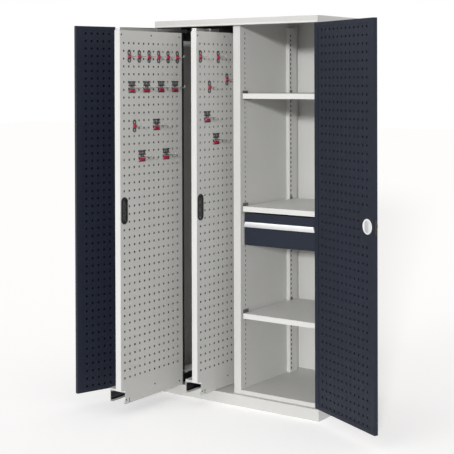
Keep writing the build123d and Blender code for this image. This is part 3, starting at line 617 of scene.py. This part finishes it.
def pullout_place(number):
    """The right face, the front, the rear and the top of a pull-out."""
    sheet_high = corners(f"pullout_{number}_sheet_right")[1]
    frame_low, frame_high = corners(f"pullout_{number}_frame")
    return sheet_high.x, frame_low.y, frame_high.y, sheet_high.z


def hole_at(number, column, row):
    face, front, rear, top = pullout_place(number)
    along = front + FIRST_COLUMN + column * HOLE_PITCH
    return Vector((face, along, top - FIRST_ROW - row * HOLE_PITCH))


for number in (1, 2):
    print("pull-out", number, [round(v, 1) for v in pullout_place(number)])

# %% [markdown]
# A small hook hangs in two holes, one above the other. It is a coated wire loop with a round eye
# above and below, a zinc prong that is bent up at its end, and a red cap where the prong starts.
# A large hook hangs in four holes, and its two prongs stand on a grid of bars. The lists give the
# column and row of the hole that each hangs in, counted from the front and from the top.

# %% Where the hooks hang
SMALL = {
    1: [(1, 1), (3, 1), (5, 1), (7, 1), (9, 1), (11, 1), (2, 10)],
    2: [(0, 1), (4, 1), (6, 4), (2, 5)],
}
LARGE = {
    1: [(1, 5), (4, 5), (7, 5), (10, 5), (6, 10), (3, 14), (8, 14)],
    2: [(1, 9), (3, 12)],
}
print("hooks", sum(len(places) for kind in (SMALL, LARGE) for places in kind.values()))

# %% [markdown]
# The bends come next, as points of splines round the upper hole. An eye is an oval that lies on
# the sheet, a prong goes straight out and up, and a tab goes through the hole and down behind it.

# %% Bends of a hook
LOOP_RADIUS, PRONG_RADIUS = 2.5, 1.9
OFF_SHEET = 2.2
PRONG_REACH = 48


def moved(points, by):
    return [tuple(Vector(p) + by) for p in points]


def eye(middle_z, wide, high):
    """Control points of an upright oval just off the sheet."""
    w, h = wide / 2, high / 2
    left_and_top = [(-w, -h / 2), (-w, h / 2), (-w / 2, h), (w / 2, h)]
    right_and_foot = [(w, h / 2), (w, -h / 2), (w / 2, -h), (-w / 2, -h)]
    return [(OFF_SHEET, y, middle_z + z) for y, z in left_and_top + right_and_foot]


def prong(y, z, start=2):
    """Straight out of the sheet, then up at the end."""
    out = [(start, y, z), (28, y, z), (41, y, z), (PRONG_REACH, y, z)]
    return out + [(PRONG_REACH, y, z + 6), (PRONG_REACH, y, z + 13)]


def tab(y, z):
    """Through a hole and down behind the sheet."""
    return [(OFF_SHEET, y, z + 2), (-1, y, z + 2), (-4, y, z + 1), (-4, y, z - 3)]


def upright(y, *heights):
    return [(OFF_SHEET, y, z) for z in heights]


print("prong length", PRONG_REACH, "mm")

# %% [markdown]
# Each hook is now put together from these bends, moved to its hole. The wires of one pull-out are
# one mesh, and so are its caps, which are rounded blocks.

# %% Hooks
for number in (1, 2):
    loops, prongs = [], []
    caps = bmesh.new()
    for column, row in SMALL[number]:
        at = hole_at(number, column, row)
        loops += [(moved(eye(-7, 17, 21), at), True), (moved(eye(-44, 17, 21), at), True)]
        loops += [(moved(upright(y, -16, -36), at), False) for y in (-5, 5)]
        loops += [(moved(tab(0, z), at), False) for z in (0, -HOLE_PITCH)]
        prongs.append((moved(prong(0, -27), at), False))
        rounded_block(caps, (8, 20, 17), at + Vector((5.5, 0, -27)), 3.2, 3)
    for column, row in LARGE[number]:
        at = hole_at(number, column + 0.5, row)
        for y in (-19, 19):
            loops += [(moved(tab(y, z), at), False) for z in (0, -HOLE_PITCH)]
            loops.append((moved(upright(y, 1, -8, -17), at), False))
        for z, half in ((1, 27), (-17, 25), (-30, 27), (-50, 24)):
            loops.append((moved([(3, -half, z), (3, 0, z), (3, half, z)], at), False))
        loops += [(moved([(2.6, y, 0), (2.6, y, -32), (2.6, y, -50)], at), False) for y in (-7, 7)]
        prongs += [(moved(prong(y, -30), at), False) for y in (-24, 24)]
        rounded_block(caps, (8, 40, 15), at + Vector((5.5, 0, -40.5)), 4, 3)
    body = f"pullout_{number}"
    wires(f"pullout_{number}_hook_loops", loops, LOOP_RADIUS, hook_black, body, f"pullout_{number}_hooks")
    wires(f"pullout_{number}_hook_prongs", prongs, PRONG_RADIUS, wire_zinc, body)
    piece(f"pullout_{number}_hook_caps", caps, cap_red, body, f"pullout_{number}_hook_pads")

# %% [markdown]
# The screws are button heads with a socket. A turned profile gives the dome, and its socket is the
# same profile going back in. The round shoulder is what catches the light. A pair of small screws
# holds each runner's cap. A black strip on the rear edge is painted shadow: it stands in for the
# dark line of the pull-out's shadow on the wall behind it. The runner on top ends in a white cap.

# %% Screws, painted rear shadows and end caps of the pull-outs
BUTTON = [(0, 0.9), (1.5, 0.9), (1.6, 2.1), (2.6, 1.9), (3.6, 1.2), (4.2, 0.3), (4.2, -0.2), (0, -0.2)]
SMALL_HEAD = [(0, 0.8), (1.8, 0.8), (2.4, 0.2), (2.4, -0.4), (0, -0.4)]
HEAD_STEPS = 12
SCREW_DROP = 21
REAR_SHADOW_DEPTH = 18
CAP_APART = 6

for number in (1, 2):
    body = f"pullout_{number}"
    face, front, rear, top = pullout_place(number)
    middle = (front + rear) / 2
    screws = bmesh.new()
    for y, z in (
        (front + 13, top - SCREW_DROP), (middle - 4, top - SCREW_DROP), (rear - 22, top - SCREW_DROP),
        (rear - 29, 84), (middle + 16, 112), (front + 40, 80),
    ):
        turned(screws, BUTTON, (face, y, z), (1, 0, 0), HEAD_STEPS)
    between(screws, (face - 0.5, front + 61, 66), (face + 0.6, front + 67, 84), 0.5)
    piece(f"pullout_{number}_button_screws", screws, screw_zinc, body, f"pullout_{number}_screws")

    # Painted shadow: a black strip on the rear edge, for the pull-out's shadow on the wall behind.
    edge = bmesh.new()
    between(edge, (face - THICK + 1, rear, 130), (face - 0.2, rear + REAR_SHADOW_DEPTH, top - 2), 2.5, 3)
    piece(f"pullout_{number}_rear_shadow_strip", edge, black_plastic_and_painted_shadow, body)

    cap = bmesh.new()
    rail = face - THICK / 2
    between(cap, (rail - 13, front + 1, top + 0.2), (rail + 13, front + 12, top + 15), 4, 4)
    piece(f"pullout_{number}_runner_cap", cap, ring_white, body)
    dots = bmesh.new()
    for x in (-CAP_APART, CAP_APART):
        turned(dots, SMALL_HEAD, (rail + x, front + 1, top + 8), (0, -1, 0), HEAD_STEPS)
    piece(f"pullout_{number}_cap_screws", dots, screw_zinc, body)

# %% [markdown]
# The carriage is folded from sheet, so its lower edges and its front have narrow lips that stiffen
# it. They are thin rounded strips. Those at the front stay as narrow as the wall, because the slides
# stand a little proud of the carriage when the pull-out is pushed in.

# %% Folded lips of the carriages
CARRIAGE_WALL = 2
FOOT_LIP = (1.5, 13.5)
LIP_ROUND = 0.6
for number in (1, 2):
    low, high = corners(f"pullout_{number}_carriage")
    lips = bmesh.new()
    near, far = FOOT_LIP
    for x in ((low.x + near, low.x + far), (high.x - far, high.x - near)):
        between(lips, (x[0], low.y, low.z), (x[1], high.y, low.z + 2), LIP_ROUND)
    between(lips, (high.x - 0.3, low.y + 2, low.z + 13), (high.x + 0.8, high.y - 2, low.z + 16), 0.5)
    between(lips, (low.x, low.y - 3, high.z - 12), (high.x, low.y - 1, high.z), LIP_ROUND)
    between(lips, (low.x, low.y - 3, high.z - 2), (high.x, low.y + 2, high.z), LIP_ROUND)
    for x in ((low.x, low.x + CARRIAGE_WALL), (high.x - CARRIAGE_WALL, high.x)):
        between(lips, (x[0], low.y - 2, low.z), (x[1], low.y + 1, high.z - 4), LIP_ROUND)
    piece(f"pullout_{number}_carriage_lips", lips, carriage_coat, f"pullout_{number}")

# %% [markdown]
# A ball cage keeps the balls of a slide apart. Its bright strip and the balls show where a slide
# is pulled out. The balls are small low spheres, because there are many of them.

# %% Ball cages in the slides
SLIDE_Z = 88.5
BALL_Z = 18.2
BALL_RADIUS, BALL_PITCH, BALLS = 1.1, 14, 12
CAGE_LENGTH = 180
for number in (1, 2):
    low, high = corners(f"pullout_{number}_carriage")
    start = corners(f"pullout_{number}_middle_rails")[0].y
    cage = bmesh.new()
    for x in (low.x + 7.5, high.x - 7.5):
        for z in (SLIDE_Z - BALL_Z, SLIDE_Z + BALL_Z):
            between(cage, (x - 1.2, start + 4, z - 0.3), (x + 1.2, start + CAGE_LENGTH, z + 0.3), 0.2, 1)
            for step in range(BALLS):
                ball = bmesh.ops.create_icosphere(cage, subdivisions=1, radius=BALL_RADIUS * MM)
                put(cage, ball["verts"], (x, start + 10 + step * BALL_PITCH, z))
    piece(f"pullout_{number}_ball_cages", cage, pin_zinc, f"pullout_{number}_middle")

# %% [markdown]
# The header ends below in a small rounded lip, which is what shows as the bright line over the
# doors. It stands 2.5 mm proud, above the tops of the doors, so that they clear it when they close.

# %% Header lip
low, high = corners("top_cover")
lip = bmesh.new()
between(lip, (low.x, low.y - 2.5, low.z + 0.2), (high.x, low.y + 1, low.z + 9), 1.6, 3)
piece("header_lip", lip, strip_coat, "cabinet")

# %% [markdown]
# The finger-pull strip of the drawer is an aluminium profile. Its front is cut back at both ends,
# so they slant. The profile is drawn once as a face and extruded along the drawer. Its two ends are
# then drawn in, further towards the top.

# %% Drawer handle
low, high = corners("drawer_handle")
SLANT = 9
handle = bmesh.new()
outline = [
    (high.y, low.z), (high.y, high.z), (low.y + 4, high.z), (low.y + 1.5, high.z - 1.2), (low.y, high.z - 5),
    (low.y, low.z + 1), (low.y + 0.6, low.z), (low.y + 2, low.z), (low.y + 2, high.z - 7),
    (low.y + 4.5, high.z - 3), (high.y - 2, high.z - 3), (high.y - 2, low.z),
]
verts = [handle.verts.new(mm(low.x, y, z)) for y, z in outline]
start = handle.faces.new(verts)
far = bmesh.ops.extrude_face_region(handle, geom=[start])["geom"]
far_end = [v for v in far if isinstance(v, bmesh.types.BMVert)]
bmesh.ops.translate(handle, vec=mm(high.x - low.x, 0, 0), verts=far_end)
middle_x = (low.x + high.x) / 2 * MM
for vert in handle.verts:
    reach = (vert.co.z / MM - low.z) / (high.z - low.z)
    side = 1 if vert.co.x < middle_x else -1
    vert.co.x += side * reach * SLANT * MM
piece("drawer_handle_strip", handle, handle_aluminium, "drawer", "drawer_handle")

# %% [markdown]
# Inside the right door the lock shows as a white ring round an oblong grey pad. The ring is a
# turned shape with a soft rim. The pad starts as a circle whose halves are moved apart.

# %% Lock ring and pad
LOCK_AT = Vector((879.37, -479.39, 984))
INWARDS = Vector((-0.45399, -0.891007, 0))
DOOR_FACE = 11
RING_BACK = [(0, -1), (14, -1), (14, 0), (35, 0)]
RING_RIM = [(35, 1.8), (34.2, 2.7), (33, 3), (31.5, 2.6), (30, 2.2), (0, 2.2)]
ring = bmesh.new()
turned(ring, RING_BACK + RING_RIM, LOCK_AT + INWARDS * DOOR_FACE, INWARDS, 48)
piece("lock_ring", ring, ring_white, "door_right", "door_right_lock_disc")

PAD_RADIUS, PAD_HALF_RUN, PAD_HEIGHT, PAD_ROUND = 15, 12, 3.8, 1.2
pad = bmesh.new()
circle = bmesh.ops.create_circle(pad, cap_ends=True, radius=PAD_RADIUS * MM, segments=32)["verts"]
for vert in circle:
    vert.co.y += (PAD_HALF_RUN if vert.co.y > 0 else -PAD_HALF_RUN) * MM
outer = bmesh.ops.extrude_face_region(pad, geom=pad.faces[:])["geom"]
raised = [v for v in outer if isinstance(v, bmesh.types.BMVert)]
bmesh.ops.translate(pad, vec=mm(0, 0, PAD_HEIGHT), verts=raised)
rim = [e for e in pad.edges if all(v in raised for v in e.verts)]
bmesh.ops.bevel(pad, geom=rim, offset=PAD_ROUND * MM, segments=3, affect="EDGES", profile=0.5, material=-1)
sideways = Vector((0.891007, -0.45399, 0))
basis = Matrix((sideways, Vector((0, 0, 1)), INWARDS)).transposed()
put(pad, pad.verts[:], LOCK_AT + INWARDS * (DOOR_FACE + 2), basis)
piece("lock_pad", pad, pad_grey, "door_right", "door_right_lock_pad")
